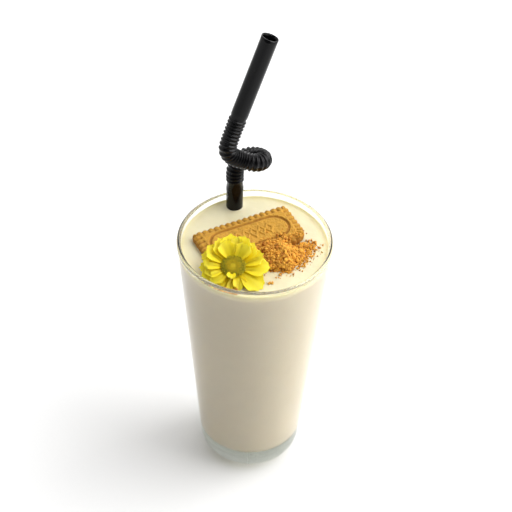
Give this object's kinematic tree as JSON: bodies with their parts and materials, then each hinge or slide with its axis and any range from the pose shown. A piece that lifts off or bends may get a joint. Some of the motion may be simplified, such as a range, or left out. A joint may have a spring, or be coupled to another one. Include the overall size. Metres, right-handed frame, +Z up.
{
  "type": "milkshake",
  "caption": "Creamy milkshake in a tall tapered glass tumbler, topped with a fluted spiced biscuit, biscuit crumbs and a yellow flower, with a looped black bendy straw.",
  "frame": {"origin": "centre of the glass's base, on the surface it stands on", "axes": "+Z up along the glass's axis, -Y to the front, where the flower lies, +X to the right"},
  "size_m": [0.0928, 0.0928, 0.2923],
  "materials": {
    "clear_glass": "gloss",
    "milkshake_cream": "satin",
    "black_plastic": "gloss",
    "baked_biscuit": "matte",
    "biscuit_crumbs": "matte",
    "yellow_petals": "matte",
    "flower_disc": "matte"
  },
  "bodies": {
    "root": {"glass": "clear_glass", "milkshake": "milkshake_cream", "straw": "black_plastic", "biscuit": "baked_biscuit", "flower": "yellow_petals", "crumb_heap": "biscuit_crumbs"}
  },
  "joints": []
}
